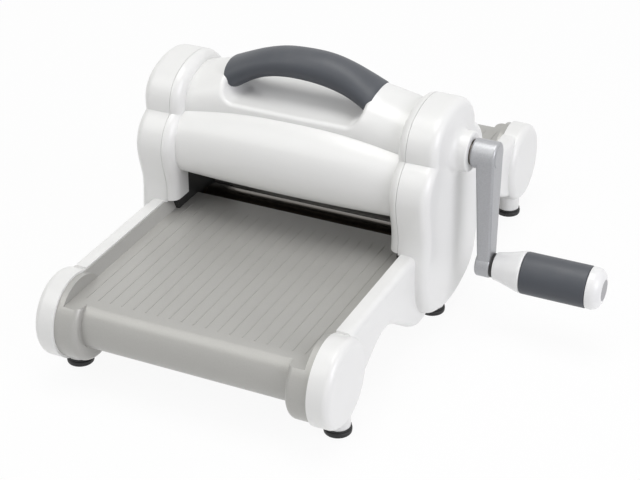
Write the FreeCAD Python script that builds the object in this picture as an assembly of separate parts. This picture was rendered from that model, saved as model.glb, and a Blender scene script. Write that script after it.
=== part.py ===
import FreeCAD, Part
import math
import os

# Hand-cranked die cutting machine. All sizes in millimetres.
# X runs along the rollers with the crank on +X, -Y is the feed side, Z is up from the table.

# Allowances used while shaping: gap between fixed pieces, overrun of cutters, a size past the machine
fit_gap = 0.3
pass_by = 1.0
beyond = 300.0
near_zero = 0.01

# Feed track and tray
platform_top = 55.6
platform_thick = 3.0
platform_half = 79.0
track_wall_thick = 4.0
track_wall_top = 63.0
track_wall_lip = 0.8
tray_bottom = 25.0
tray_wall = 2.5
nose_parting = 29.5
foot_parting = 37.0
nose_half = 68.0
nose_flat_end = 164.6
tray_wide_end = 150.5
rib_pitch = 8.0
rib_width = 0.8
rib_height = 0.25
rib_root = 0.2
rib_margin = 6.0
rib_start = 26.0
rib_end = 158.0
roller_slot_half = 12.0
lower_cover_inner_end = 37.0

# White side frames
frame_inner = platform_half + track_wall_thick
arm_outer = 93.0
arm_top = 64.0
arm_edge_round = 4.0
arm_edge_shortest = 50.0
foot_outer = 97.0
foot_edge_round = 5.0
foot_middle_y = 153.5
foot_middle_z = 38.5
foot_radius = 27.5
grey_foot_radius = 26.0
grey_foot_round = 4.0
shell_wall = 2.5
neck_radius = 7.6
neck_top = 24.0

# Towers
tower_outer = 101.0
tower_outer_round = 6.0
seam_x = 81.0
seam_gap = 0.25
flank_inner = 74.3
flank_thick = 2.5
tower_inner_round = 6.5
collar_bottom = track_wall_top + 1.2

# Rollers and gears
lower_axis = 41.0
upper_axis = 91.0
roller_radius = 15.0
roller_half = 73.4
journal_radius = 7.0
running_gap = 0.04
sync_module = 2.0
sync_teeth = 25
drive_module = 1.5
pinion_teeth = 14
drive_teeth = 24
gear_inner = 86.5
gear_face = 8.0
tooth_gap = 0.32
tooth_tip = 0.85
tooth_root = 1.2
tooth_foot = 0.1
pressure_angle = math.radians(20)
journal_end = 97.0
plain_journal_end = 88.0
clip_width = 1.2
clip_radius = 9.6
groove_depth = 0.7

# Steel side plates, bushes and tie rods
plate_inner = 77.0
plate_thick = 3.6
plate_wide_half = 37.0
plate_narrow_half = 21.0
plate_bottom = 17.0
plate_corner = 9.0
plate_shoulder = 112.0
plate_top = 141.0
bush_radius = 9.0
bush_flange_radius = 11.0
bush_flange_inner = roller_half + fit_gap
bush_outer_end = 85.2
bush_hole_gap = 1.0
tie_rod_radius = 5.0
tie_thread_radius = 3.0
tie_thread_end = 90.0
tie_nut_flats = 10.0
tie_nut_thick = 5.0
upper_tie_place = (25.0, 114.0)
lower_tie_place = (28.0, 27.0)

# Cover screws that pull the flanks and plates against the side covers
cover_screw_places = ((34.0, 92.0), (14.0, 133.0))
cover_screw_radius = 1.75
cover_screw_head = 3.4
cover_screw_length = 16.0
cover_boss_radius = 4.5
cover_boss_inner = plate_inner + plate_thick

# Crank
crank_axis = upper_axis + drive_module * (pinion_teeth + drive_teeth) / 2
crank_shaft_radius = 6.0
crank_shaft_inner = 77.6
crank_bush_radius = 8.0
crank_bush_lip = 2.0
boss_radius = 12.8
boss_flare = 5.0
boss_edge_round = 1.2
boss_face = 110.4
boss_bore_inner = 95.5
hub_radius = 9.3
hub_inner = 111.4
arm_inner_top = 115.2
crank_arm_outer = 127.3
arm_inner_tip = 118.8
arm_half_top = 8.9
arm_half_tip = 6.5
tip_radius = 8.4
tip_step = 1.2
crank_throw = 76.0
arm_edge_soft = 1.6
hub_edge_soft = 1.4
hub_cap_radius = 7.2
hub_cap_thick = 1.4
hub_cap_proud = 0.2
hub_recess = 3.0
hub_screw_radius = 2.5
hub_screw_depth = 11.0
hub_screw_head = 1.6

# Crank handle
grip_axis = crank_axis - crank_throw
spindle_radius = 4.0
spindle_head_start = 1.4
spindle_head_lip = 1.8
spindle_head_thick = 3.0
washer_radius = 7.8
washer_thick = 1.4
ferrule_start = 129.2
ferrule_length = 19.2
ferrule_small = 8.8
grip_radius = 13.5
grip_length = 42.5
sleeve_thick = 2.5
cap_length = 9.0
cap_face_radius = 8.0
cap_dome_share = 0.66
cap_dome_drop = 1.9
plug_radius = 6.6
plug_thick = 1.6

# Bridge and carry handle
bridge_wall = 2.5
bridge_bow = 3.0
bridge_rise = 5.0
bridge_swell_start = 104.0
bridge_top = 127.0
opening_floor = 133.3
opening_half = 47.4
handle_shift = -2.2
opening_corner = 9.0
opening_rim_round = 3.0
flank_window_half = 28.0
bridge_mouth_half = 33.5
dome_root_start = 60.0
grip_end_top = 58.0
grip_end_low = 47.0
grip_zone_low = 139.0
grip_zone_high = 175.0
grip_skin = 2.0
oval_points = 12

# Rubber feet
foot_pad_radius = 8.6
foot_pad_height = 4.8
foot_pad_step = 3.4
foot_pad_lip = 0.7
foot_pad_round = 1.2
foot_screw_radius = 2.0
foot_screw_head = 4.0
foot_screw_head_thick = 1.8
foot_screw_seat = 1.5
foot_screw_reach = 4.5
middle_seat_height = 7.7
foot_x = 87.6
foot_y = 147.0

# Bottom screws of the lower covers
lower_screw_places = ((58.0, 44.0), (58.0, 136.0))
lower_post_radius = 4.0
lower_screw_radius = 1.5
lower_screw_head = 3.0
lower_screw_head_depth = 2.0
lower_screw_sink = 0.4
lower_screw_length = 14.0

# The box of the whole machine is centred on the origin along X
box_left = -tower_outer
box_right = ferrule_start + ferrule_length + grip_length + cap_length
to_origin = FreeCAD.Vector(-(box_left + box_right) / 2, 0, 0)

ALONG_X = FreeCAD.Vector(1, 0, 0)
ALONG_Y = FreeCAD.Vector(0, 1, 0)
ALONG_Z = FreeCAD.Vector(0, 0, 1)


def rod(radius, x_from, x_to, y, z):
    """Round bar lying along X."""
    return Part.makeCylinder(radius, x_to - x_from, FreeCAD.Vector(x_from, y, z), ALONG_X)


def cone_rod(radius_from, radius_to, x_from, x_to, y, z):
    """Tapered round bar lying along X."""
    return Part.makeCone(radius_from, radius_to, x_to - x_from, FreeCAD.Vector(x_from, y, z), ALONG_X)


def post(radius, z_from, z_to, x, y):
    """Upright round bar."""
    return Part.makeCylinder(radius, z_to - z_from, FreeCAD.Vector(x, y, z_from), ALONG_Z)


def block(x_from, x_to, y_from, y_to, z_from, z_to):
    """Box between two corners."""
    corner = FreeCAD.Vector(x_from, y_from, z_from)
    return Part.makeBox(x_to - x_from, y_to - y_from, z_to - z_from, corner)


def ring(outer, inner, x_from, x_to, y, z):
    """Washer-like ring lying along X."""
    return rod(outer, x_from, x_to, y, z).cut(rod(inner, x_from - pass_by, x_to + pass_by, y, z))


def joined(shapes):
    """One solid out of touching or overlapping ones."""
    return shapes[0].multiFuse(shapes[1:]).removeSplitter()


def flipped(shape):
    """The same shape on the other side of the machine."""
    return shape.mirror(FreeCAD.Vector(0, 0, 0), ALONG_X)


def both_sides(shape):
    """Left and right copies of a shape."""
    return [shape, flipped(shape)]


def smooth_edge(points, x):
    """Smooth curve through (y, z) points on the plane at x."""
    curve = Part.BSplineCurve()
    curve.interpolate([FreeCAD.Vector(x, y, z) for y, z in points])
    return curve.toShape()


def straight_edge(start, end, x):
    """Straight line between two (y, z) points on the plane at x."""
    return Part.makeLine(FreeCAD.Vector(x, *start), FreeCAD.Vector(x, *end))


def mirrored_points(half):
    """Full run of points from a half that starts on the middle line."""
    return [(-y, z) for y, z in reversed(half[1:])] + half


def slab(edges, x_from, x_to):
    """Closed (y, z) outline drawn at x_from and pushed out to x_to."""
    wire = Part.Wire(Part.__sortEdges__(edges))
    return Part.Face(wire).extrude(FreeCAD.Vector(x_to - x_from, 0, 0))


def rounded_at(shape, x, radius):
    """Round the curved outline edges that lie on the plane at x."""
    chosen = []
    for edge in shape.Edges:
        box = edge.BoundBox
        on_plane = abs(box.XMin - x) < near_zero and abs(box.XMax - x) < near_zero
        if on_plane and edge.Curve.TypeId != "Part::GeomLine":
            chosen.append(edge)
    return shape.makeFillet(radius, chosen)


def drawn_in(points, inset, middle):
    """Move (y, z) points toward a middle point by the inset."""
    moved = []
    for y, z in points:
        reach = math.hypot(y - middle[0], z - middle[1])
        keep = (reach - inset) / reach
        moved.append((middle[0] + (y - middle[0]) * keep, middle[1] + (z - middle[1]) * keep))
    return moved


# Tower outline in y and z: a head lobe, fuller at the feed side, on a waisted body
# The body is given from its middle line outward
head_outline = [(-33, 113), (-36.2, 123), (-35.6, 133), (-29, 143), (-16, 149.3), (-1.5, 151.2),
                (12.5, 149), (24.5, 141.5), (31.4, 132), (32.2, 122.5), (29, 113)]
head_middle = (0, 126)
body_half = [(0, 10), (20, 13), (37, 21.5), (44.5, 36), (46, 56), (45, 76),
             (48.5, 90), (49.7, 104), (43, 117.5), (31, 125), (18, 130)]
body_middle = (0, 80)


def tower_lobes():
    """Outline and middle of the head lobe and of the body lobe."""
    return ((head_outline, head_middle), (mirrored_points(body_half), body_middle))


def lobe_slab(outline, middle, inset, x_from, x_to):
    """Slab with the outline of one tower lobe."""
    points = drawn_in(outline, inset, middle)
    edges = [smooth_edge(points, x_from), straight_edge(points[-1], points[0], x_from)]
    return slab(edges, x_from, x_to)


def tower_form():
    """Outer form of the right tower, rounded on both faces."""
    lobes = []
    for outline, middle in tower_lobes():
        lobe = lobe_slab(outline, middle, 0, flank_inner, tower_outer)
        lobe = rounded_at(lobe, tower_outer, tower_outer_round)
        lobes.append(rounded_at(lobe, flank_inner, tower_inner_round))
    return joined(lobes)


def tower_hollow(x_from, x_to):
    """Hollow of the right tower between two planes."""
    return joined([lobe_slab(outline, middle, shell_wall, x_from, x_to) for outline, middle in tower_lobes()])


# Underside arch of the arms, from the foot to the tower, with a skirt that runs in under the tower
arch_points = [(140, 17), (128, 21.5), (115, 28), (101, 35.5), (90, 37.5), (79, 34.5), (60, 23),
               (47, 14.4), (37, 10), (28, 9.2), (17, 13)]
arm_root = 36.0


def arm_slab(inset, x_from, x_to):
    """Slab of one arm, from the middle of the machine to the foot, on the feed side."""
    arch = [(-y, z + inset) for y, z in arch_points]
    top_z = arm_top - inset
    start = (arch[0][0], top_z)
    finish = (arch[-1][0], top_z)
    edges = [smooth_edge(arch, x_from)]
    edges.append(straight_edge(arch[-1], finish, x_from))
    edges.append(straight_edge(finish, start, x_from))
    edges.append(straight_edge(start, arch[0], x_from))
    return slab(edges, x_from, x_to)


def rounded_arm():
    """Arm with its outer top and bottom edges softened."""
    arm = arm_slab(0, frame_inner, arm_outer)
    chosen = []
    for edge in arm.Edges:
        box = edge.BoundBox
        on_face = abs(box.XMin - arm_outer) < near_zero
        if on_face and box.YLength > arm_edge_shortest:
            chosen.append(edge)
    arm = arm.makeFillet(arm_edge_round, chosen)
    return arm.cut(block(0, seam_x, -arm_root, 0, 0, beyond))


def foot_disc():
    """Round end of an arm on the feed side."""
    disc = rod(foot_radius, frame_inner, foot_outer, -foot_middle_y, foot_middle_z)
    rim = [edge for edge in disc.Edges if abs(edge.BoundBox.XMin - foot_outer) < near_zero]
    return disc.makeFillet(foot_edge_round, rim)


def turned_back(shape):
    """The same shape at the exit side of the machine."""
    return shape.mirror(FreeCAD.Vector(0, 0, 0), ALONG_Y)


def foot_neck():
    """Stub that carries a rubber foot under the round arm end, outside the track."""
    neck = post(neck_radius, foot_pad_height, neck_top, foot_x, -foot_y)
    return neck.cut(block(0, frame_inner, -beyond, beyond, 0, beyond))


def cover_screw_spots():
    """Middle points in y and z of the cover screws on one side."""
    return [(side * y, z) for y, z in cover_screw_places for side in (-1, 1)]


def side_cover_spaces():
    """Hollows of the right side cover, and the way of the track walls into its tower."""
    arm_end = arm_root + shell_wall
    arm = arm_slab(shell_wall, frame_inner - pass_by, arm_outer - shell_wall)
    arm = arm.common(block(0, beyond, -beyond, -arm_end, 0, beyond))
    foot = rod(foot_radius - shell_wall, frame_inner - pass_by, foot_outer - shell_wall,
               -foot_middle_y, foot_middle_z)
    wall = block(0, frame_inner, -beyond, -plate_wide_half - fit_gap, tray_bottom, track_wall_top)
    spaces = [arm, foot, wall]
    spaces += [turned_back(space) for space in spaces]
    spaces.append(tower_hollow(seam_x - pass_by, tower_outer - shell_wall))
    return spaces


def side_cover():
    """White shell of the right side: tower, two arms and two round feet."""
    tower = tower_form().common(block(seam_x, beyond, -beyond, beyond, 0, beyond))
    arm = rounded_arm()
    foot = foot_disc()
    cover = joined([tower, arm, foot, turned_back(arm), turned_back(foot)])
    for space in side_cover_spaces():
        cover = cover.cut(space)
    neck = foot_neck()
    parts = [cover, neck, turned_back(neck)]
    middle_seat = post(neck_radius, foot_pad_height, foot_pad_height + middle_seat_height, foot_x, 0)
    parts.append(middle_seat.cut(block(0, frame_inner, -beyond, beyond, 0, beyond)))
    for y, z in cover_screw_spots():
        parts.append(rod(cover_boss_radius, cover_boss_inner, tower_outer - pass_by, y, z))
    cover = joined(parts)
    screw_end = flank_inner + cover_screw_length
    for y, z in cover_screw_spots():
        cover = cover.cut(rod(cover_screw_radius, cover_boss_inner - pass_by, screw_end, y, z))
    for y in (-foot_y, 0, foot_y):
        cover = cover.cut(post(foot_screw_radius, 0, foot_pad_height + foot_screw_reach, foot_x, y))
    return cover


def quarter_turn(start, corner, end):
    """Quarter-round arc from start to end inside a square corner, all in x and radius."""
    middle = []
    for first, square, last in zip(start, corner, end):
        far = first + last - square
        middle.append(far + (square - far) * math.sqrt(0.5))
    points = [FreeCAD.Vector(x, radius, 0) for x, radius in (start, middle, end)]
    return Part.Arc(*points).toShape()


def turned_line(start, end):
    """Straight line of a turned outline, in x and radius."""
    return Part.makeLine(FreeCAD.Vector(*start, 0), FreeCAD.Vector(*end, 0))


def turned(edges, height):
    """Round solid about the line along X at a height, from a closed outline."""
    face = Part.Face(Part.Wire(Part.__sortEdges__(edges)))
    solid = face.revolve(FreeCAD.Vector(0, 0, 0), ALONG_X, 360)
    solid.translate(FreeCAD.Vector(0, 0, height))
    return solid


def crank_boss():
    """Boss round the crank shaft, flared where it grows out of the tower."""
    root = (boss_bore_inner, boss_radius + boss_flare)
    foot = (tower_outer, boss_radius + boss_flare)
    neck = (tower_outer + boss_flare, boss_radius)
    shoulder = (boss_face - boss_edge_round, boss_radius)
    rim = (boss_face, boss_radius - boss_edge_round)
    edges = [turned_line((boss_bore_inner, 0), root), turned_line(root, foot)]
    edges.append(quarter_turn(foot, (tower_outer, boss_radius), neck))
    edges.append(turned_line(neck, shoulder))
    edges.append(quarter_turn(shoulder, (boss_face, boss_radius), rim))
    edges += [turned_line(rim, (boss_face, 0)), turned_line((boss_face, 0), (boss_bore_inner, 0))]
    return turned(edges, crank_axis)


def right_side_cover():
    """Side cover with the boss the crank runs through."""
    cover = side_cover().fuse(crank_boss())
    return cover.cut(rod(crank_bush_radius, boss_bore_inner - pass_by, boss_face + pass_by, 0, crank_axis))


def left_side_cover():
    """Plain side cover without a crank."""
    return flipped(side_cover())


# Bridge outline from the bottom edge up to the middle line, at the ends of the bridge
bridge_half = [(36.5, 84), (42.5, 93), (43, 104), (39.5, 114), (32, 121), (20, 125.6), (0, bridge_top)]
bridge_middle = (0, 96)


def bridge_section(x, share, inset):
    """Closed outline of the bridge on the plane at x; share is 1 at the middle and 0 at the ends."""
    half = []
    for y, z in reversed(bridge_half):
        lift = bridge_rise * share * max(0, (z - bridge_swell_start) / (bridge_top - bridge_swell_start))
        half.append((y + bridge_bow * share if y else y, z + lift))
    points = mirrored_points(half)
    points = drawn_in(points, inset, bridge_middle)
    edges = [smooth_edge(points, x), straight_edge(points[-1], points[0], x)]
    return Part.Wire(Part.__sortEdges__(edges))


def bridge_body(inset, half_length):
    """Bowed body of the bridge."""
    sections = []
    for place in (-1, -0.5, 0, 0.5, 1):
        sections.append(bridge_section(place * half_length, 1 - place * place, inset))
    return Part.makeLoft(sections, True)


# Stations along X of the carry handle and of the dome it grows from: top, bottom and half depth
handle_stations = [(0, 166.9, 148.7, 12.5), (16, 165.4, 147.6, 12.5), (30, 161, 143.5, 12.8),
                   (42, 156.4, 137.5, 14.5), (52, 152, 130, 17), (60, 148.6, 124, 19)]
dome_stations = [(0, 152, 108, 28), (40, 151.5, 108, 28), (56, 149.3, 105, 28.5), (78, 144, 100, 29)]


def handle_section(x, top, bottom, depth, inset):
    """Oval cross-section of the carry handle on the plane at x."""
    tall = (top - bottom) / 2 - inset
    deep = depth - inset
    middle = (top + bottom) / 2
    corners = []
    for step in range(oval_points):
        turn = 2 * math.pi * step / oval_points
        corners.append(FreeCAD.Vector(x, deep * math.sin(turn), middle + tall * math.cos(turn)))
    oval = Part.BSplineCurve()
    oval.interpolate(corners, True)
    return Part.Wire([oval.toShape()])


def station_loft(stations, inset):
    """Smooth bar through oval stations, the same on both sides of the middle."""
    left = [(-x, top, bottom, depth) for x, top, bottom, depth in reversed(stations[1:])]
    return Part.makeLoft([handle_section(*place, inset) for place in left + stations], True)


def handle_bar(inset):
    """Arched bar of the carry handle with its thicker roots."""
    bar = station_loft(handle_stations, inset)
    bar.translate(FreeCAD.Vector(handle_shift, 0, 0))
    return bar


def finger_opening():
    """Space under the carry handle, with rounded lower corners."""
    left, right = handle_shift - opening_half, handle_shift + opening_half
    opening = block(left, right, -beyond, beyond, opening_floor, beyond)
    corners = []
    for edge in opening.Edges:
        box = edge.BoundBox
        if box.ZMax < opening_floor + near_zero and box.YLength > beyond:
            corners.append(edge)
    return opening.makeFillet(opening_corner, corners)


def upper_dome():
    """Domed upper part of the bridge with the finger opening cut through it."""
    dome = station_loft(dome_stations, 0).cut(finger_opening())
    rim = []
    for edge in dome.Edges:
        box = edge.BoundBox
        above_floor = box.ZMin > opening_floor - near_zero
        past_left = box.XMin > handle_shift - opening_half - near_zero
        past_right = box.XMax < handle_shift + opening_half + near_zero
        crosses = box.YMin < 0 < box.YMax
        if above_floor and past_left and past_right and not crosses:
            rim.append(edge)
    return dome.makeFillet(opening_rim_round, rim)


def prism(corners, y_from, y_to):
    """Closed (x, z) outline pushed from one y to another."""
    drawn = [FreeCAD.Vector(x, y_from, z) for x, z in corners]
    return Part.Face(Part.makePolygon(drawn + drawn[:1])).extrude(FreeCAD.Vector(0, y_to - y_from, 0))


def grip_zone():
    """Wedge of space that the soft grip covers along the handle."""
    corners = [(-grip_end_top, grip_zone_high), (grip_end_top, grip_zone_high),
               (grip_end_low, grip_zone_low), (-grip_end_low, grip_zone_low)]
    zone = prism(corners, -beyond, beyond)
    zone.translate(FreeCAD.Vector(handle_shift, 0, 0))
    return zone


def cover_screw(y, z):
    """Countersunk screw through flank and plate into a boss of the side cover."""
    head_depth = cover_screw_head - cover_screw_radius
    head = cone_rod(cover_screw_head, cover_screw_radius, flank_inner, flank_inner + head_depth, y, z)
    return joined([head, rod(cover_screw_radius, flank_inner, flank_inner + cover_screw_length, y, z)])


def cover_screws():
    """All countersunk screws of the covers."""
    screws = []
    for y, z in cover_screw_spots():
        screws += both_sides(cover_screw(y, z))
    return screws


def tie_places():
    """Middle points of the four tie rods."""
    places = []
    for y, z in (upper_tie_place, lower_tie_place):
        places += [(-y, z), (y, z)]
    return places


def bridge_spaces():
    """Hollows, windows and holes of the bridge."""
    root_zone = block(dome_root_start, flank_inner, -beyond, beyond, 0, beyond)
    bridge_bottom = bridge_half[0][1]
    spaces = [bridge_body(bridge_wall, flank_inner)]
    spaces.append(block(-flank_inner, flank_inner, -bridge_mouth_half, bridge_mouth_half, 0, upper_axis))
    spaces += both_sides(station_loft(dome_stations, bridge_wall).common(root_zone))
    spaces += both_sides(tower_hollow(flank_inner + flank_thick, frame_inner + pass_by))
    spaces.append(block(-frame_inner, frame_inner, -flank_window_half, flank_window_half, 0, bridge_bottom))
    for axis in (lower_axis, upper_axis):
        spaces.append(rod(bush_flange_radius + bush_hole_gap, -frame_inner, frame_inner, 0, axis))
    for y, z in tie_places():
        spaces.append(rod(tie_rod_radius + bush_hole_gap, -frame_inner, frame_inner, y, z))
    return spaces + cover_screws()


def bridge_shell():
    """Whole white bridge before it is parted into a front and a rear cover."""
    collar_zone = block(flank_inner, seam_x - seam_gap, -beyond, beyond, collar_bottom, beyond)
    collar = tower_form().common(collar_zone)
    zone = grip_zone()
    bar = handle_bar(0).cut(zone)
    core = handle_bar(grip_skin).common(zone)
    shell = bridge_body(0, flank_inner + pass_by).fuse(upper_dome()).fuse(core.fuse(bar))
    for side in both_sides(collar):
        shell = shell.fuse(side)
    for space in bridge_spaces():
        shell = shell.cut(space)
    return shell


def bridge_covers():
    """Front and rear halves of the bridge."""
    shell = bridge_shell()
    front = shell.common(block(-beyond, beyond, -beyond, 0, 0, beyond))
    rear = shell.common(block(-beyond, beyond, 0, beyond, 0, beyond))
    return front, rear


def carry_handle_grip():
    """Soft skin moulded round the arch of the carry handle."""
    skin = handle_bar(0).common(grip_zone()).cut(handle_bar(grip_skin))
    return skin.cut(upper_dome())


# Front nose of the tray from the end of the flat to the start of the bottom
nose_points = [(nose_flat_end, platform_top), (169.3, 51.8), (172.2, 46), (172.8, 37), (169, 28.5),
               (161, tray_bottom)]
nose_middle = (140, 41)


def nose_slab(inset, half_width):
    """Tray body on the feed side with its rolled nose."""
    points = [(-y, z) for y, z in drawn_in(nose_points, inset, nose_middle)]
    top, low = points[0], points[-1]
    edges = [smooth_edge(points, -half_width)]
    edges.append(straight_edge(low, (0, low[1]), -half_width))
    edges.append(straight_edge((0, low[1]), (0, top[1]), -half_width))
    edges.append(straight_edge((0, top[1]), top, -half_width))
    return slab(edges, -half_width, half_width)


def track_wall():
    """Wall beside the feed track, sloped on its inner side, on the right of the feed side."""
    corners = [(platform_half, tray_bottom), (frame_inner, tray_bottom), (frame_inner, track_wall_top),
               (frame_inner - track_wall_lip, track_wall_top), (platform_half, platform_top)]
    return prism(corners, -foot_middle_y, 0)


def grey_foot():
    """Round end of the tray beside the white foot, on the right of the feed side."""
    foot = rod(grey_foot_radius, nose_half, frame_inner, -foot_middle_y, foot_middle_z)
    inner_rim = [edge for edge in foot.Edges if abs(edge.BoundBox.XMax - nose_half) < near_zero]
    foot = foot.makeFillet(grey_foot_round, inner_rim)
    return foot.cut(block(0, platform_half, -beyond, 0, platform_top, beyond))


def grey_foot_space():
    """Hollow of the round tray end."""
    space = rod(grey_foot_radius - tray_wall, nose_half + tray_wall, frame_inner,
                -foot_middle_y, foot_middle_z)
    return space.cut(block(0, frame_inner, -beyond, 0, platform_top - platform_thick, beyond))


def tray_form():
    """Outer form of the feed tray and its lower cover together."""
    parts = [nose_slab(0, nose_half)]
    parts.append(block(-platform_half, platform_half, -tray_wide_end, 0, tray_bottom, platform_top))
    parts += both_sides(grey_foot()) + both_sides(track_wall())
    return joined(parts)


def tray_hollows():
    """Spaces inside the tray, its nose and its round ends."""
    near = -lower_cover_inner_end - tray_wall
    low = tray_bottom + tray_wall
    high = platform_top - platform_thick
    inner_half = platform_half - tray_wall
    nose = nose_slab(tray_wall, nose_half - tray_wall)
    spaces = [nose.common(block(-beyond, beyond, -beyond, near, low, high))]
    spaces.append(block(-inner_half, inner_half, -tray_wide_end + tray_wall, near, low, high))
    return spaces + both_sides(grey_foot_space())


def tray_mass():
    """Feed tray and lower cover as one hollow form, cleared for the plates, the rollers and the screws."""
    mass = tray_form()
    for space in tray_hollows():
        mass = mass.cut(space)
    neck = post(neck_radius, foot_pad_height, neck_top, foot_x, -foot_y)
    neck = neck.common(block(0, frame_inner, -beyond, 0, 0, beyond))
    parts = [mass] + both_sides(neck)
    for x, y in lower_screw_places:
        parts += both_sides(post(lower_post_radius, tray_bottom + pass_by, platform_top - pass_by, x, -y))
    mass = joined(parts)
    plate_front = -plate_wide_half - fit_gap
    under_platform = platform_top - platform_thick
    spaces = both_sides(block(plate_inner - fit_gap, beyond, plate_front, pass_by, 0, beyond))
    spaces.append(block(-beyond, beyond, -lower_cover_inner_end, pass_by, 0, under_platform))
    spaces.append(block(-beyond, beyond, -roller_slot_half, pass_by, 0, beyond))
    for space in spaces + lower_cover_screws():
        mass = mass.cut(space)
    return mass


def lower_cover_screw(x, y):
    """Pan head screw driven up through a lower cover into the tray."""
    head_top = tray_bottom + lower_screw_head_depth
    head = post(lower_screw_head, tray_bottom + lower_screw_sink, head_top, x, y)
    shank = post(lower_screw_radius, head_top - lower_screw_sink, head_top + lower_screw_length, x, y)
    return joined([head, shank])


def lower_cover_screws():
    """All screws of the two lower covers."""
    screws = []
    for x, y in lower_screw_places:
        for side_y in (-y, y):
            screws += both_sides(lower_cover_screw(x, side_y))
    return screws


def tray_ribs():
    """Thin guide lines along the feed."""
    count = int((platform_half - rib_margin) // rib_pitch)
    ribs = []
    for step in range(-count, count + 1):
        middle = step * rib_pitch
        ribs.append(block(middle - rib_width / 2, middle + rib_width / 2, -rib_end, -rib_start,
                          platform_top - rib_root, platform_top + rib_height))
    return ribs


def feed_tray_and_cover():
    """Upper tray and lower cover on the feed side."""
    mass = tray_mass()
    upper_middle = block(-nose_half, nose_half, -beyond, 0, nose_parting, beyond)
    upper_sides = both_sides(block(nose_half, beyond, -beyond, 0, foot_parting, beyond))
    upper_zone = joined([upper_middle] + upper_sides)
    upper = mass.common(upper_zone)
    lower = mass.cut(upper_zone)
    tray = joined([upper] + tray_ribs())
    return tray, lower


def side_plate(with_crank):
    """Steel plate that carries the bushes of the right side."""
    corners = [(plate_wide_half - plate_corner, plate_bottom), (plate_wide_half, plate_bottom + plate_corner),
               (plate_wide_half, plate_shoulder), (plate_narrow_half, plate_shoulder),
               (plate_narrow_half, plate_top)]
    corners += [(-y, z) for y, z in reversed(corners)]
    edges = [straight_edge(corners[i - 1], corners[i], plate_inner) for i in range(len(corners))]
    plate = slab(edges, plate_inner, plate_inner + plate_thick)
    holes = [(bush_radius, 0, lower_axis), (bush_radius, 0, upper_axis)]
    holes += [(tie_thread_radius, y, z) for y, z in tie_places()]
    holes += [(cover_screw_radius, y, z) for y, z in cover_screw_spots()]
    if with_crank:
        holes.append((crank_bush_radius, 0, crank_axis))
    for radius, y, z in holes:
        plate = plate.cut(rod(radius, plate_inner - pass_by, plate_inner + plate_thick + pass_by, y, z))
    return plate


def roller_bush(axis):
    """Flanged plain bearing of a roller journal."""
    flange = rod(bush_flange_radius, bush_flange_inner, plate_inner, 0, axis)
    sleeve = rod(bush_radius, plate_inner, bush_outer_end, 0, axis)
    bore = rod(journal_radius + running_gap, bush_flange_inner - pass_by, bush_outer_end + pass_by, 0, axis)
    return joined([flange, sleeve]).cut(bore)


def roller_bushes():
    """Four roller bearings."""
    return both_sides(roller_bush(lower_axis)) + both_sides(roller_bush(upper_axis))


def crank_bushes():
    """Plain bearings of the crank shaft in the plate and in the boss."""
    outer_face = plate_inner + plate_thick
    flange = rod(crank_bush_radius + crank_bush_lip, outer_face, bush_outer_end, 0, crank_axis)
    sleeve = rod(crank_bush_radius, plate_inner, bush_outer_end, 0, crank_axis)
    inner = joined([flange, sleeve])
    outer = rod(crank_bush_radius, boss_bore_inner, boss_face, 0, crank_axis)
    bore = rod(crank_shaft_radius + running_gap, plate_inner - pass_by, boss_face + pass_by, 0, crank_axis)
    return [inner.cut(bore), outer.cut(bore)]


def tie_rods():
    """Four rods that hold the side plates apart, with threaded ends."""
    rods = []
    for y, z in tie_places():
        bar = rod(tie_rod_radius, -plate_inner, plate_inner, y, z)
        rods.append(joined([bar, rod(tie_thread_radius, -tie_thread_end, tie_thread_end, y, z)]))
    return rods


def tie_nuts():
    """Hexagon nuts on the tie rod ends."""
    nuts = []
    start = plate_inner + plate_thick
    corner = tie_nut_flats / 2 / math.cos(math.radians(30))
    for y, z in tie_places():
        corners = []
        for step in range(6):
            turn = math.radians(60 * step)
            corners.append((y + corner * math.cos(turn), z + corner * math.sin(turn)))
        edges = [straight_edge(corners[i - 1], corners[i], start) for i in range(6)]
        nut = slab(edges, start, start + tie_nut_thick)
        thread = rod(tie_thread_radius, start - pass_by, start + tie_nut_thick + pass_by, y, z)
        nuts += both_sides(nut.cut(thread))
    return nuts


def gear(module, teeth, bore, axis, first_tooth):
    """Spur gear on the right side; first_tooth is the angle of one tooth from +Y."""
    pitch = module * teeth / 2
    base = pitch * math.cos(pressure_angle)
    tip = pitch + tooth_tip * module
    root = pitch - tooth_root * module
    half_at_pitch = (math.pi * module / 4 - tooth_gap / 2) / pitch

    def half_angle(radius):
        slope = math.acos(min(1.0, base / radius))
        return half_at_pitch + math.tan(pressure_angle) - pressure_angle - math.tan(slope) + slope

    radii = [root, max(base, root + tooth_foot), pitch, tip]
    corners = []
    for tooth in range(teeth):
        middle = first_tooth + 2 * math.pi * tooth / teeth
        rise = [(radius, middle - half_angle(radius)) for radius in radii]
        fall = [(radius, middle + half_angle(radius)) for radius in reversed(radii)]
        for radius, turn in rise + fall:
            y = radius * math.cos(turn)
            corners.append(FreeCAD.Vector(gear_inner, y, axis + radius * math.sin(turn)))
    wheel = Part.Face(Part.makePolygon(corners + corners[:1])).extrude(FreeCAD.Vector(gear_face, 0, 0))
    return wheel.cut(rod(bore, gear_inner - pass_by, gear_inner + gear_face + pass_by, 0, axis))


def sync_gears():
    """Two equal gears that tie the rollers together on the left side."""
    half_pitch = math.pi / sync_teeth
    lower = gear(sync_module, sync_teeth, journal_radius, lower_axis, math.pi / 2)
    upper = gear(sync_module, sync_teeth, journal_radius, upper_axis, -math.pi / 2 + half_pitch)
    return flipped(lower), flipped(upper)


def drive_gears():
    """Crank pinion and the larger gear it drives on the upper roller."""
    half_pitch = math.pi / pinion_teeth
    driven = gear(drive_module, drive_teeth, journal_radius, upper_axis, math.pi / 2)
    pinion = gear(drive_module, pinion_teeth, crank_shaft_radius, crank_axis, -math.pi / 2 + half_pitch)
    return pinion, driven


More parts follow.
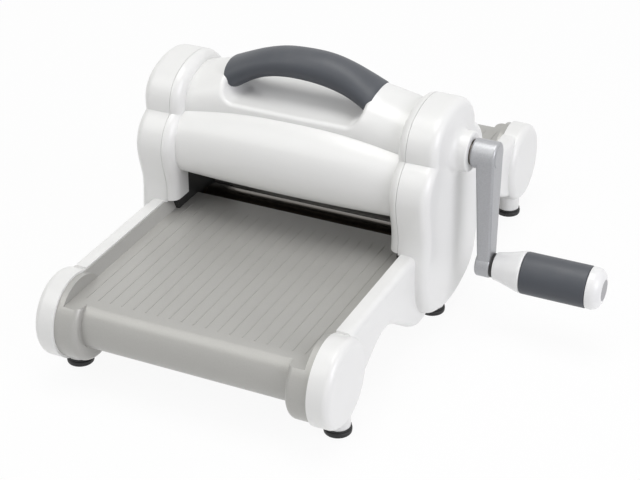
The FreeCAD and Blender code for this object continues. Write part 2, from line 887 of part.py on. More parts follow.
def clip_groove(end, axis):
    """Groove near a journal end for its retaining ring."""
    start = end - 2 * clip_width
    return ring(journal_radius + pass_by, journal_radius - groove_depth, start, start + clip_width, 0, axis)


def clip(end, axis):
    """Retaining ring seated in its groove."""
    start = end - 2 * clip_width
    return ring(clip_radius, journal_radius - groove_depth, start, start + clip_width, 0, axis)


def roller(axis, right_end):
    """Steel roller with a journal at each end."""
    bar = rod(roller_radius, -roller_half, roller_half, 0, axis)
    journal = rod(journal_radius, -journal_end, right_end, 0, axis)
    body = joined([bar, journal])
    body = body.cut(clip_groove(right_end, axis))
    return body.cut(flipped(clip_groove(journal_end, axis)))


def roller_clips(axis, right_end):
    """Retaining rings of one roller."""
    return [clip(right_end, axis), flipped(clip(journal_end, axis))]


def crank_shaft():
    """Shaft that carries the pinion and the crank arm."""
    end = crank_arm_outer - hub_recess
    shaft = rod(crank_shaft_radius, crank_shaft_inner, end, 0, crank_axis)
    return shaft.cut(rod(hub_screw_radius, end - hub_screw_depth, end + pass_by, 0, crank_axis))


def crank_arm():
    """Tapered arm with a long hub and a round tip."""
    top = [(arm_inner_top, -arm_half_top), (crank_arm_outer, -arm_half_top),
           (crank_arm_outer, arm_half_top), (arm_inner_top, arm_half_top)]
    tip = [(arm_inner_tip, -arm_half_tip), (crank_arm_outer, -arm_half_tip),
           (crank_arm_outer, arm_half_tip), (arm_inner_tip, arm_half_tip)]
    wires = []
    for outline, z in ((top, crank_axis), (tip, grip_axis)):
        drawn = [FreeCAD.Vector(x, y, z) for x, y in outline]
        wires.append(Part.makePolygon(drawn + drawn[:1]))
    bar = Part.makeLoft(wires, True, True)
    long_edges = [edge for edge in bar.Edges if edge.BoundBox.ZLength > crank_throw / 2]
    bar = bar.makeFillet(arm_edge_soft, long_edges)
    hub = rod(hub_radius, hub_inner, crank_arm_outer, 0, crank_axis)
    hub_rim = [edge for edge in hub.Edges if edge.Curve.TypeId == "Part::GeomCircle"]
    hub = hub.makeFillet(hub_edge_soft, hub_rim)
    end = rod(tip_radius, arm_inner_tip - tip_step, crank_arm_outer, 0, grip_axis)
    end_rim = [edge for edge in end.Edges if edge.Curve.TypeId == "Part::GeomCircle"]
    end = end.makeFillet(hub_edge_soft, end_rim)
    arm = bar.fuse(hub).fuse(end)
    recess = crank_arm_outer - hub_recess
    arm = arm.cut(rod(crank_shaft_radius, hub_inner - pass_by, recess, 0, crank_axis))
    arm = arm.cut(rod(hub_cap_radius, recess, crank_arm_outer + pass_by, 0, crank_axis))
    tip_end = arm_inner_tip - tip_step
    return arm.cut(rod(spindle_radius, tip_end - pass_by, crank_arm_outer + pass_by, 0, grip_axis))


def crank_hub_screw():
    """Screw that holds the arm on the shaft, under the cap."""
    start = crank_arm_outer - hub_recess
    head = rod(hub_cap_radius, start, start + hub_screw_head, 0, crank_axis)
    shank = rod(hub_screw_radius, start - hub_screw_depth + pass_by, start + pass_by, 0, crank_axis)
    return joined([head, shank])


def crank_hub_cap():
    """Round cap seated in the outer face of the hub."""
    face = crank_arm_outer + hub_cap_proud
    return rod(hub_cap_radius, face - hub_cap_thick, face, 0, crank_axis)


cap_start = ferrule_start + ferrule_length + grip_length
cap_end = cap_start + cap_length


def handle_spindle():
    """Shoulder bolt the crank handle spins on."""
    head_start = cap_start + spindle_head_start
    bar = rod(spindle_radius, arm_inner_tip - tip_step, head_start + pass_by, 0, grip_axis)
    head = rod(spindle_radius + spindle_head_lip, head_start, head_start + spindle_head_thick, 0, grip_axis)
    return joined([bar, head])


def spindle_washer():
    """Dark washer between arm tip and handle."""
    return ring(washer_radius, spindle_radius, crank_arm_outer, crank_arm_outer + washer_thick, 0, grip_axis)


def handle_ferrule():
    """Tapered front of the handle with the tube the soft sleeve sits on."""
    grip_start = ferrule_start + ferrule_length
    taper = cone_rod(ferrule_small, grip_radius, ferrule_start, grip_start, 0, grip_axis)
    tube = rod(grip_radius - sleeve_thick, grip_start, cap_start, 0, grip_axis)
    bore = rod(spindle_radius + running_gap, ferrule_start - pass_by, cap_start + pass_by, 0, grip_axis)
    return joined([taper, tube]).cut(bore)


def handle_sleeve():
    """Soft sleeve of the crank handle."""
    start = ferrule_start + ferrule_length
    return ring(grip_radius, grip_radius - sleeve_thick, start, cap_start, 0, grip_axis)


def handle_end_cap():
    """Domed end of the handle, hollow round the spindle head."""
    start = (cap_start, grip_radius)
    crown = (cap_start + cap_length * cap_dome_share, grip_radius - cap_dome_drop)
    end = (cap_end, cap_face_radius)
    dome = Part.Arc(*[FreeCAD.Vector(*point, 0) for point in (start, crown, end)]).toShape()
    lines = [turned_line(end, (cap_end, 0)), turned_line((cap_end, 0), (cap_start, 0))]
    lines.append(turned_line((cap_start, 0), start))
    cap = turned([dome] + lines, grip_axis)
    cap = cap.cut(rod(spindle_radius + running_gap, cap_start - pass_by, cap_end, 0, grip_axis))
    return cap.cut(rod(plug_radius, cap_start + pass_by, cap_end + pass_by, 0, grip_axis))


def handle_end_plug():
    """Flat plug that closes the end cap."""
    return rod(plug_radius, cap_end - plug_thick, cap_end, 0, grip_axis)


def rubber_foot(x, y):
    """Round-edged rubber pad with a narrower top and a recess for its screw."""
    tread = post(foot_pad_radius, 0, foot_pad_step, x, y)
    rims = [edge for edge in tread.Edges if edge.Curve.TypeId == "Part::GeomCircle"]
    tread = tread.makeFillet(foot_pad_round, rims)
    top = post(foot_pad_radius - foot_pad_lip, foot_pad_round, foot_pad_height, x, y)
    foot = joined([tread, top])
    foot = foot.cut(post(foot_screw_head, -pass_by, foot_pad_height - foot_screw_seat, x, y))
    return foot.cut(post(foot_screw_radius, -pass_by, foot_pad_height + pass_by, x, y))


def foot_screw(x, y):
    """Screw that holds a rubber foot."""
    seat = foot_pad_height - foot_screw_seat
    head = post(foot_screw_head, seat - foot_screw_head_thick, seat, x, y)
    shank = post(foot_screw_radius, seat - pass_by, foot_pad_height + foot_screw_reach, x, y)
    return joined([head, shank])


def foot_places():
    """Middle points of the six rubber feet."""
    return [(x, y) for x in (-foot_x, foot_x) for y in (-foot_y, 0, foot_y)]


def save(name, shape):
    """Write one named piece, moved so the machine's box sits over the origin."""
    solids = shape if isinstance(shape, list) else [shape]
    whole = solids[0] if len(solids) == 1 else Part.makeCompound(solids)
    placed = whole.copy()
    placed.translate(to_origin)
    placed.exportStep("parts/" + name + ".step")
    count = len(placed.Solids)
    print(f"{name}: {count} solids, {placed.Volume / 1000:.1f} cm3, valid {placed.isValid()}")


def main():
    """Build and save every piece."""
    os.makedirs("parts", exist_ok=True)
    save("left_side_cover", left_side_cover())
    save("right_side_cover", right_side_cover())
    front, rear = bridge_covers()
    save("bridge_front_cover", front)
    save("bridge_rear_cover", rear)
    save("carry_handle_grip", carry_handle_grip())
    tray, lower = feed_tray_and_cover()
    save("front_tray", tray)
    save("front_lower_cover", lower)
    save("rear_tray", turned_back(tray))
    save("rear_lower_cover", turned_back(lower))
    save("right_side_plate", side_plate(True))
    save("left_side_plate", flipped(side_plate(False)))
    save("tie_rods", tie_rods())
    save("tie_rod_nuts", tie_nuts())
    save("roller_bushes", roller_bushes())
    save("crank_bushes", crank_bushes())
    save("cover_screws", cover_screws())
    save("lower_cover_screws", lower_cover_screws())
    save("rubber_feet", [rubber_foot(x, y) for x, y in foot_places()])
    save("foot_screws", [foot_screw(x, y) for x, y in foot_places()])
    lower_gear, upper_gear = sync_gears()
    pinion, driven = drive_gears()
    save("lower_roller", roller(lower_axis, plain_journal_end))
    save("lower_sync_gear", lower_gear)
    save("lower_roller_clips", roller_clips(lower_axis, plain_journal_end))
    save("upper_roller", roller(upper_axis, journal_end))
    save("upper_sync_gear", upper_gear)
    save("upper_drive_gear", driven)
    save("upper_roller_clips", roller_clips(upper_axis, journal_end))
    save("crank_shaft", crank_shaft())
    save("crank_pinion", pinion)
    save("crank_arm", crank_arm())
    save("crank_hub_screw", crank_hub_screw())
    save("crank_hub_cap", crank_hub_cap())
    save("handle_spindle", handle_spindle())
    save("spindle_washer", spindle_washer())
    save("handle_ferrule", handle_ferrule())
    save("handle_sleeve", handle_sleeve())
    save("handle_end_cap", handle_end_cap())
    save("handle_end_plug", handle_end_plug())


main()
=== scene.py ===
"""Dressed scene of a hand-cranked die cutting machine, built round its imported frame."""
import logging
import math
from dataclasses import dataclass, field
from enum import Enum

import bpy
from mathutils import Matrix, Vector


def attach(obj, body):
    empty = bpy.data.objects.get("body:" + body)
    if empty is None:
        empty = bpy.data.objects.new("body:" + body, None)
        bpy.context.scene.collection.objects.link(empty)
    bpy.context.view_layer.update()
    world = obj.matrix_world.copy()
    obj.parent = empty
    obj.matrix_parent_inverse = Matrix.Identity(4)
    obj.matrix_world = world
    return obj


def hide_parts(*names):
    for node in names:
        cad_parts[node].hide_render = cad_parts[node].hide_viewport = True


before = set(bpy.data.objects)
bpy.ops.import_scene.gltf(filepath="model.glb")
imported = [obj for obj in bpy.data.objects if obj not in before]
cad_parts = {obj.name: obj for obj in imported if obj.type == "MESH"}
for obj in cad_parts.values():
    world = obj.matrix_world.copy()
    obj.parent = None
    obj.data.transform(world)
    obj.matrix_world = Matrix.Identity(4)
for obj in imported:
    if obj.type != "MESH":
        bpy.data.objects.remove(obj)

logging.basicConfig(level=logging.INFO, format="%(message)s")
LOG = logging.getLogger("die_cutter")

MM = 0.001
FRAME_SHIFT = -49.45
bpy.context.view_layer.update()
WELD = 0.000002


class Body(Enum):
    """Rigid bodies that new pieces ride on."""

    CHASSIS = "chassis"
    CRANK_HANDLE = "crank_handle"


class Slot(Enum):
    """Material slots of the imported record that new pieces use."""

    WHITE_COVER = "white_cover"
    GREY_TRAY = "grey_tray"
    SLATE_GRIP = "slate_grip"
    HANDLE_WHITE = "handle_white"
    STEEL = "steel"
    FOOT_RUBBER = "foot_rubber"


def at(x: float, y: float, z: float) -> Vector:
    """Point of the machine, given in millimetres from its middle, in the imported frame.

    Args:
        x: Place along the rollers.
        y: Place along the feed.
        z: Height above the table.

    Returns:
        The point in metres.
    """
    return Vector(((x + FRAME_SHIFT) * MM, y * MM, z * MM))


class Axis(Enum):
    """Direction of the axis of a turned piece."""

    ROLLERS = "along the rollers"
    UPRIGHT = "upright"

    def point(self, along: float, place: tuple[float, float]) -> Vector:
        """Point on the axis.

        Args:
            along: Place along the axis, in millimetres.
            place: The other two coordinates, in the order x, y, z.

        Returns:
            The point in metres.
        """
        return at(along, *place) if self is Axis.ROLLERS else at(*place, along)

    def turn(self) -> tuple[float, float, float]:
        """Turn that lays a flat circle square to the axis."""
        return (0, math.radians(90), 0) if self is Axis.ROLLERS else (0, 0, 0)

    def growth(self, share: float) -> tuple[float, float, float]:
        """Scale that grows a ring about the axis by a share."""
        return (1, share, share) if self is Axis.ROLLERS else (share, share, 1)


class ShaderGroups:
    """Node groups that several finishes share, each built once."""

    made: dict[str, bpy.types.NodeTree] = {}
    cloud: tuple[float, float] = (14.0, 3.0)
    smear: tuple[float, float] = (55.0, 4.0)
    grain: tuple[float, float] = (900.0, 2.0)
    marks: tuple[float, float] = (900.0, 3.0)
    patches: tuple[float, float] = (120.0, 5.0)
    mark_stretch: tuple[float, float, float] = (1.0, 0.06, 0.06)
    dust_colour: tuple[float, float, float, float] = (0.62, 0.61, 0.59, 1.0)
    mix_first, mix_second, mix_result = 6, 7, 2

    @classmethod
    def start(cls, name: str, ins: dict[str, str], outs: dict[str, str]) -> bpy.types.NodeTree:
        """Make an empty group with named sockets.

        Args:
            name: Name of the group.
            ins: Input socket types by name.
            outs: Output socket types by name.

        Returns:
            The new group with its input and output nodes.
        """
        tree = bpy.data.node_groups.new(name, "ShaderNodeTree")
        for label, kind in ins.items():
            tree.interface.new_socket(name=label, in_out="INPUT", socket_type=kind)
        for label, kind in outs.items():
            tree.interface.new_socket(name=label, in_out="OUTPUT", socket_type=kind)
        tree.nodes.new("NodeGroupInput").name = "in"
        tree.nodes.new("NodeGroupOutput").name = "out"
        cls.made[name] = tree
        return tree

    @staticmethod
    def noise(tree: bpy.types.NodeTree, scale: float, detail: float) -> bpy.types.Node:
        """Noise texture with a fixed scale and detail, in a group.

        Args:
            tree: Group that gets the node.
            scale: Noise scale in object space.
            detail: Number of noise octaves.

        Returns:
            The noise node.
        """
        node = tree.nodes.new("ShaderNodeTexNoise")
        node.inputs["Scale"].default_value = scale
        node.inputs["Detail"].default_value = detail
        return node

    @staticmethod
    def math_node(tree: bpy.types.NodeTree, operation: str, a: object, b: object) -> bpy.types.NodeSocket:
        """Two-input maths node fed by sockets or numbers.

        Args:
            tree: Group that gets the node.
            operation: Blender's name of the operation.
            a: First socket or number.
            b: Second socket or number.

        Returns:
            The result socket.
        """
        node = tree.nodes.new("ShaderNodeMath")
        node.operation = operation
        for index, value in enumerate((a, b)):
            if isinstance(value, (int, float)):
                node.inputs[index].default_value = value
            else:
                tree.links.new(value, node.inputs[index])
        return node.outputs[0]

    @classmethod
    def skin(cls, name: str) -> bpy.types.NodeTree:
        """Empty group with the sockets that every surface skin has.

        Args:
            name: Name of the group.

        Returns:
            The new group.
        """
        scalar, colour, vector = "NodeSocketFloat", "NodeSocketColor", "NodeSocketVector"
        ins = {"Vector": vector, "Colour": colour}
        ins.update({label: scalar for label in ("Tone", "Fleck", "Gloss", "Spread", "Grain Scale")})
        return cls.start(name, ins, {"Colour": colour, "Roughness": scalar, "Height": scalar})

    @classmethod
    def put_out(cls, tree: bpy.types.NodeTree, shade: bpy.types.NodeSocket, dull: bpy.types.NodeSocket,
                height: bpy.types.NodeSocket) -> None:
        """Wire the shifts of tone and gloss and the grain height to a skin's outputs.

        Args:
            tree: Group of the skin.
            shade: Change of tone, about zero.
            dull: Noise that changes the gloss, about zero.
            height: Grain height.
        """
        source, sink = tree.nodes["in"].outputs, tree.nodes["out"].inputs
        tint = tree.nodes.new("ShaderNodeVectorMath")
        tint.operation = "SCALE"
        tree.links.new(source["Colour"], tint.inputs[0])
        tree.links.new(cls.math_node(tree, "ADD", shade, 1.0), tint.inputs["Scale"])
        tree.links.new(tint.outputs[0], sink["Colour"])
        spread = cls.math_node(tree, "MULTIPLY", dull, source["Spread"])
        tree.links.new(cls.math_node(tree, "ADD", spread, source["Gloss"]), sink["Roughness"])
        tree.links.new(height, sink["Height"])

    @classmethod
    def moulded(cls) -> bpy.types.NodeTree:
        """Fine mould grain with slow changes of tone and gloss, and flecks of metal paint."""
        name = "moulded_surface"
        if name in cls.made:
            return cls.made[name]
        tree = cls.skin(name)
        source = tree.nodes["in"].outputs
        cloud = cls.noise(tree, *cls.cloud)
        smear = cls.noise(tree, *cls.smear)
        grain = cls.noise(tree, *cls.grain)
        for node in (cloud, smear, grain):
            tree.links.new(source["Vector"], node.inputs["Vector"])
        tree.links.new(source["Grain Scale"], grain.inputs["Scale"])
        slow, blurred, fine = (cls.math_node(tree, "SUBTRACT", node.outputs[0], 0.5)
                               for node in (cloud, smear, grain))
        slow = cls.math_node(tree, "MULTIPLY", slow, source["Tone"])
        fine = cls.math_node(tree, "MULTIPLY", fine, source["Fleck"])
        cls.put_out(tree, cls.math_node(tree, "ADD", slow, fine), blurred, grain.outputs[0])
        return tree

    @classmethod
    def turned(cls) -> bpy.types.NodeTree:
        """Fine turning marks round the roller axis, for machined steel."""
        name = "turned_surface"
        if name in cls.made:
            return cls.made[name]
        tree = cls.skin(name)
        source = tree.nodes["in"].outputs
        stretch = tree.nodes.new("ShaderNodeVectorMath")
        stretch.operation = "MULTIPLY"
        stretch.inputs[1].default_value = cls.mark_stretch
        tree.links.new(source["Vector"], stretch.inputs[0])
        marks = cls.noise(tree, *cls.marks)
        tree.links.new(stretch.outputs[0], marks.inputs["Vector"])
        tree.links.new(source["Grain Scale"], marks.inputs["Scale"])
        shift = cls.math_node(tree, "SUBTRACT", marks.outputs[0], 0.5)
        cls.put_out(tree, cls.math_node(tree, "MULTIPLY", shift, source["Tone"]), shift, marks.outputs[0])
        return tree

    @classmethod
    def dust(cls) -> bpy.types.NodeTree:
        """Thin pale dust that settles on faces that look up."""
        name = "settled_dust"
        if name in cls.made:
            return cls.made[name]
        scalar, colour, vector = "NodeSocketFloat", "NodeSocketColor", "NodeSocketVector"
        tree = cls.start(name, {"Vector": vector, "Colour": colour, "Amount": scalar}, {"Colour": colour})
        source, sink = tree.nodes["in"].outputs, tree.nodes["out"].inputs
        patches = cls.noise(tree, *cls.patches)
        tree.links.new(source["Vector"], patches.inputs["Vector"])
        shape = tree.nodes.new("ShaderNodeNewGeometry")
        parts = tree.nodes.new("ShaderNodeSeparateXYZ")
        tree.links.new(shape.outputs["Normal"], parts.inputs[0])
        facing = cls.math_node(tree, "MAXIMUM", parts.outputs["Z"], 0.0)
        cover = cls.math_node(tree, "MULTIPLY", facing, patches.outputs[0])
        cover = cls.math_node(tree, "MULTIPLY", cover, source["Amount"])
        blend = tree.nodes.new("ShaderNodeMix")
        blend.data_type = "RGBA"
        blend.inputs[cls.mix_second].default_value = cls.dust_colour
        tree.links.new(cover, blend.inputs[0])
        tree.links.new(source["Colour"], blend.inputs[cls.mix_first])
        tree.links.new(blend.outputs[cls.mix_result], sink["Colour"])
        return tree


class Surface(Enum):
    """How the surface of a finish was made."""

    MOULDED = "moulded"
    TURNED = "turned"


@dataclass(frozen=True)
class Finish:
    """One material of the machine, made of shared node groups and a principled shader."""

    name: str
    colour: tuple[float, float, float]
    roughness: float
    metallic: float = 0.0
    coat: float = 0.0
    coat_roughness: float = 0.1
    tone: float = 0.04
    fleck: float = 0.0
    spread: float = 0.08
    grain_scale: float = 900.0
    grain_depth: float = 0.00002
    grain_strength: float = 0.6
    dust: float = 0.0
    surface: Surface = Surface.MOULDED

    def material(self) -> bpy.types.Material:
        """Build the material, or hand back the one already built.

        Returns:
            The material of this finish.
        """
        known = bpy.data.materials.get(self.name)
        if known is not None:
            return known
        made = bpy.data.materials.new(self.name)
        made.use_nodes = True
        tree = made.node_tree
        shader = tree.nodes["Principled BSDF"]
        place = tree.nodes.new("ShaderNodeTexCoord")
        skin = tree.nodes.new("ShaderNodeGroup")
        turned = self.surface is Surface.TURNED
        skin.node_tree = ShaderGroups.turned() if turned else ShaderGroups.moulded()
        tree.links.new(place.outputs["Object"], skin.inputs["Vector"])
        skin.inputs["Colour"].default_value = (*self.colour, 1.0)
        skin.inputs["Tone"].default_value = self.tone
        skin.inputs["Fleck"].default_value = self.fleck
        skin.inputs["Gloss"].default_value = self.roughness
        skin.inputs["Spread"].default_value = self.spread
        skin.inputs["Grain Scale"].default_value = self.grain_scale
        paint = skin.outputs["Colour"]
        if self.dust > 0:
            settled = tree.nodes.new("ShaderNodeGroup")
            settled.node_tree = ShaderGroups.dust()
            settled.inputs["Amount"].default_value = self.dust
            tree.links.new(place.outputs["Object"], settled.inputs["Vector"])
            tree.links.new(paint, settled.inputs["Colour"])
            paint = settled.outputs["Colour"]
        bump = tree.nodes.new("ShaderNodeBump")
        bump.inputs["Strength"].default_value = self.grain_strength
        bump.inputs["Distance"].default_value = self.grain_depth
        tree.links.new(paint, shader.inputs["Base Color"])
        tree.links.new(skin.outputs["Roughness"], shader.inputs["Roughness"])
        tree.links.new(skin.outputs["Height"], bump.inputs["Height"])
        tree.links.new(bump.outputs["Normal"], shader.inputs["Normal"])
        shader.inputs["Metallic"].default_value = self.metallic
        shader.inputs["Coat Weight"].default_value = self.coat
        shader.inputs["Coat Roughness"].default_value = self.coat_roughness
        return made


WHITE_SHELL = Finish("white_gloss_shell", (0.83, 0.83, 0.82), 0.3, coat=0.25, coat_roughness=0.12,
                     tone=0.012, spread=0.02, grain_scale=700.0, grain_depth=0.000006)
HANDLE_WHITE = Finish("white_gloss_handle", (0.84, 0.84, 0.84), 0.28, coat=0.4, coat_roughness=0.1,
                      tone=0.012, spread=0.02, grain_scale=900.0, grain_depth=0.000006)
TRAY_GREY = Finish("satin_silver_tray", (0.435, 0.43, 0.41), 0.32, metallic=0.2, tone=0.05, fleck=0.12,
                   spread=0.08, grain_scale=1400.0, grain_depth=0.00004, dust=0.04)
SLATE = Finish("soft_slate_grip", (0.054, 0.06, 0.072), 0.46, tone=0.12, spread=0.12, grain_scale=1100.0,
               grain_depth=0.00006, dust=0.05)
SILVER_PAINT = Finish("silver_crank_paint", (0.42, 0.425, 0.44), 0.38, metallic=0.55, tone=0.06, fleck=0.3,
                      spread=0.1, grain_scale=1100.0, grain_depth=0.00004)
PLUG_GREY = Finish("satin_grey_plug", (0.34, 0.34, 0.35), 0.40, tone=0.05, spread=0.1)
BRIGHT_STEEL = Finish("bright_plated_steel", (0.62, 0.62, 0.63), 0.28, metallic=1.0, tone=0.15, spread=0.15,
                      surface=Surface.TURNED)
# Roller steel: its very dark, warm brown base colour is a painted reflection of the dark interior round the
# rollers.
ROLLER_STEEL = Finish("roller_steel_painted_dark_reflection", (0.105, 0.093, 0.08), 0.2, metallic=0.9, tone=0.25, spread=0.12,
                      grain_scale=1500.0, surface=Surface.TURNED)
PLATE_BLACK = Finish("black_coated_plate", (0.018, 0.018, 0.018), 0.5, tone=0.2, spread=0.1,
                     grain_depth=0.00005)
GEAR_STEEL = Finish("machined_gear_steel", (0.40, 0.40, 0.41), 0.35, metallic=1.0, tone=0.2, spread=0.15,
                    surface=Surface.TURNED)
BRONZE = Finish("oiled_bearing_bronze", (0.16, 0.11, 0.06), 0.36, metallic=1.0, tone=0.15, spread=0.12,
                surface=Surface.TURNED)
RUBBER = Finish("black_foot_rubber", (0.008, 0.008, 0.009), 0.5, tone=0.2, spread=0.15, grain_scale=1300.0,
                grain_depth=0.00006, dust=0.02)
NYLON = Finish("black_nylon_washer", (0.015, 0.015, 0.016), 0.42, tone=0.15, spread=0.1)


class Bench:
    """Modelling moves on one piece, made with Blender's own operators."""

    @staticmethod
    def clear_selection() -> None:
        """Leave edit mode and deselect everything."""
        if bpy.context.object is not None and bpy.context.object.mode != "OBJECT":
            bpy.ops.object.mode_set(mode="OBJECT")
        bpy.ops.object.select_all(action="DESELECT")

    @staticmethod
    def only(piece: bpy.types.Object) -> None:
        """Make one piece the selected and active one.

        Args:
            piece: The piece to work on.
        """
        Bench.clear_selection()
        piece.select_set(True)
        bpy.context.view_layer.objects.active = piece

    @staticmethod
    def smooth(piece: bpy.types.Object, degrees: float = 35.0) -> None:
        """Shade a piece smooth up to an edge angle.

        Args:
            piece: The piece to shade.
            degrees: Largest angle that is shaded smooth.
        """
        Bench.only(piece)
        bpy.ops.object.shade_smooth_by_angle(angle=math.radians(degrees))

    @staticmethod
    def settle(piece: bpy.types.Object) -> None:
        """Put the object's place and turn into its mesh.

        Args:
            piece: The finished piece.
        """
        Bench.only(piece)
        bpy.ops.object.transform_apply(location=True, rotation=True, scale=True)

    @staticmethod
    def dress(piece: bpy.types.Object, finish: Finish, body: Body, slot: Slot, *nodes: str) -> None:
        """Give a piece its finish and fasten it to its body.

        Args:
            piece: The finished piece.
            finish: Its material.
            body: The body it moves with.
            slot: The record's slot it belongs to; not used.
            nodes: CAD nodes that the piece stands for.
        """
        piece.data.materials.clear()
        piece.data.materials.append(finish.material())
        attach(piece, body.value)
        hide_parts(*nodes)
        LOG.info("%s: %d faces on %s", piece.name, len(piece.data.polygons), body.value)

    @staticmethod
    def turned(name: str, profile: list[tuple[float, float]], axis: Axis, place: tuple[float, float],
               sides: int) -> bpy.types.Object:
        """Round piece grown ring by ring from a circle.

        Args:
            name: Name of the piece.
            profile: Pairs of place along the axis and radius in millimetres, closed on themselves.
            axis: Direction of the axis.
            place: The axis's other two coordinates in millimetres, in the order x, y, z.
            sides: Number of sides of the rings.

        Returns:
            The closed piece.
        """
        Bench.clear_selection()
        along, radius = profile[0]
        bpy.ops.mesh.primitive_circle_add(vertices=sides, radius=radius * MM, rotation=axis.turn(),
                                          location=axis.point(along, place))
        piece = bpy.context.object
        piece.name = piece.data.name = name
        Bench.settle(piece)
        bpy.ops.object.mode_set(mode="EDIT")
        bpy.ops.mesh.select_all(action="SELECT")
        for next_along, next_radius in profile[1:] + profile[:1]:
            middle = axis.point(next_along, place)
            move = middle - axis.point(along, place)
            bpy.ops.mesh.extrude_region_move(TRANSFORM_OT_translate={"value": move})
            bpy.ops.transform.resize(value=axis.growth(next_radius / radius), center_override=middle)
            along, radius = next_along, next_radius
        bpy.ops.mesh.select_all(action="SELECT")
        bpy.ops.mesh.remove_doubles(threshold=WELD)
        bpy.ops.mesh.normals_make_consistent(inside=False)
        bpy.ops.object.mode_set(mode="OBJECT")
        return piece

    @staticmethod
    def joined(name: str, pieces: list[bpy.types.Object]) -> bpy.types.Object:
        """Join pieces into one.

        Args:
            name: Name of the joined piece.
            pieces: The pieces to join.

        Returns:
            The joined piece.
        """
        Bench.only(pieces[0])
        for piece in pieces:
            piece.select_set(True)
        bpy.ops.object.join()
        whole = bpy.context.object
        whole.name = whole.data.name = name
        return whole


def rounded_profile(corners: list[tuple[float, float, float]], steps: int = 5) -> list[tuple[float, float]]:
    """Closed outline with each corner rounded by its own radius.

    Args:
        corners: Triples of x, radius from the axis and corner radius, in millimetres.
        steps: Points per rounded corner.

    Returns:
        Pairs of x and radius.
    """
    outline: list[tuple[float, float]] = []
    count = len(corners)
    for index, (x, y, rounding) in enumerate(corners):
        here = Vector((x, y))
        if rounding <= 0:
            outline.append((x, y))
            continue
        before = (Vector(corners[index - 1][:2]) - here).normalized()
        after = (Vector(corners[(index + 1) % count][:2]) - here).normalized()
        start, end = here + before * rounding, here + after * rounding
        for step in range(steps + 1):
            share = step / steps
            point = start * (1 - share) ** 2 + here * (2 * share * (1 - share)) + end * share ** 2
            outline.append((point.x, point.y))
    return outline


@dataclass
class SmoothShells:
    """Covers and trays carried over from the frame, with their facets shaded away."""

    smooth_angle: float = 32.0
    merge_distance: float = 0.000004
    white_nodes: tuple[str, ...] = ("left_side_cover", "right_side_cover", "bridge_front_cover",
                                    "bridge_rear_cover")
    grey_nodes: tuple[str, ...] = ("front_tray", "front_lower_cover", "rear_tray", "rear_lower_cover")

    def shell(self, node: str) -> bpy.types.Object:
        """Smooth copy of one cover.

        Args:
            node: Name of the CAD node.

        Returns:
            The new piece.
        """
        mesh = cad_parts[node].data.copy()
        piece = bpy.data.objects.new(f"{node}_skin", mesh)
        bpy.context.scene.collection.objects.link(piece)
        Bench.only(piece)
        bpy.ops.object.mode_set(mode="EDIT")
        bpy.ops.mesh.select_all(action="SELECT")
        bpy.ops.mesh.remove_doubles(threshold=self.merge_distance)
        bpy.ops.mesh.customdata_custom_splitnormals_clear()
        bpy.ops.object.mode_set(mode="OBJECT")
        Bench.smooth(piece, self.smooth_angle)
        return piece

    def build(self) -> None:
        """Make and dress every shell."""
        for node in self.white_nodes:
            Bench.dress(self.shell(node), WHITE_SHELL, Body.CHASSIS, Slot.WHITE_COVER, node)
        for node in self.grey_nodes:
            Bench.dress(self.shell(node), TRAY_GREY, Body.CHASSIS, Slot.GREY_TRAY, node)


